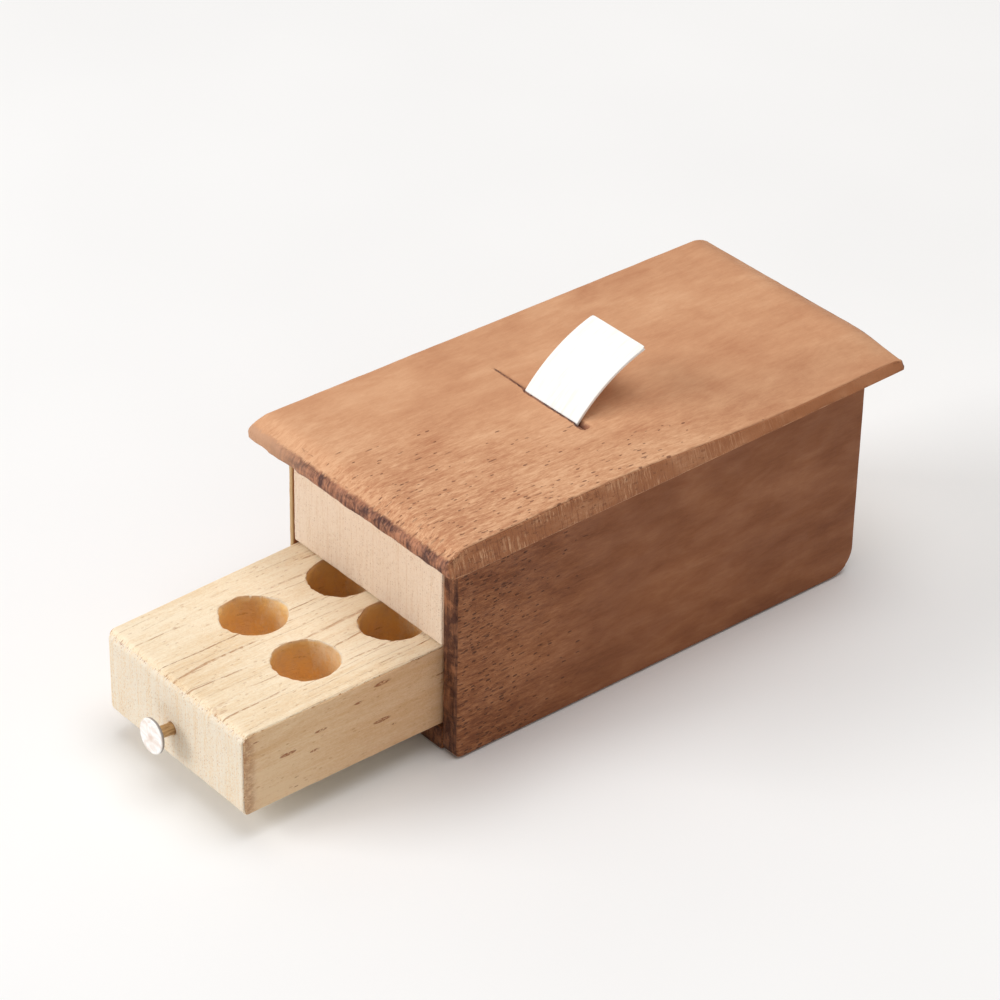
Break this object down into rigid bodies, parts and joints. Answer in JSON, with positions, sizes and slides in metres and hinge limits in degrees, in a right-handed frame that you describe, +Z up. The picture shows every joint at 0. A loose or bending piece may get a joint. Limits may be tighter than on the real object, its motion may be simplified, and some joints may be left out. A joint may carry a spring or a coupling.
{
  "type": "wooden puzzle box",
  "caption": "Small free-standing wooden box with an overhanging top board, a sliding pale drawer block with drilled cups and a pin knob, and a curved slip that moves in a slot in the top.",
  "frame": {"origin": "centre of the case's underside, on the surface that the box stands on", "axes": "+Z up, -Y towards the drawer's knob, +X to the right seen from the front"},
  "size_m": [0.0306, 0.0789, 0.0306],
  "materials": {
    "dark_wood": "bare sawn and lightly sanded, open pores, matt",
    "dark_top_wood": "bare, lightly sanded, open pores, matt",
    "pale_panel_wood": "bare, fine sawn, matt",
    "pale_drawer_wood": "bare, sanded, with small open checks, matt",
    "pin_wood": "smooth turned peg",
    "pearl_disc": "pearly, softly glossy",
    "white_slip": "white, matt"
  },
  "bodies": {
    "case": {"left_side": "dark_wood", "right_side": "dark_wood", "floor_board": "dark_wood", "back_panel": "pale_panel_wood", "front_panel": "pale_panel_wood", "top_board": "dark_top_wood", "left_rail": "pale_panel_wood", "right_rail": "pale_panel_wood", "slip_guide_front": "pale_panel_wood", "slip_guide_rear": "pale_panel_wood"},
    "drawer": {"drawer_block": "pale_drawer_wood", "knob_pin": "pin_wood", "knob_head": "pearl_disc"},
    "slip": {"catch_slip": "white_slip"}
  },
  "joints": [
    {"name": "drawer_slide", "type": "slide", "parent": "case", "child": "drawer", "axis": [0, -1, 0], "range_m": [-0.0223, 0.0137]},
    {"name": "slip_slide", "type": "hinge", "parent": "case", "child": "slip", "pos_m": [0, 0.00753, 0.01436], "axis": [-1, 0, 0], "range_deg": [-11, 22]}
  ]
}
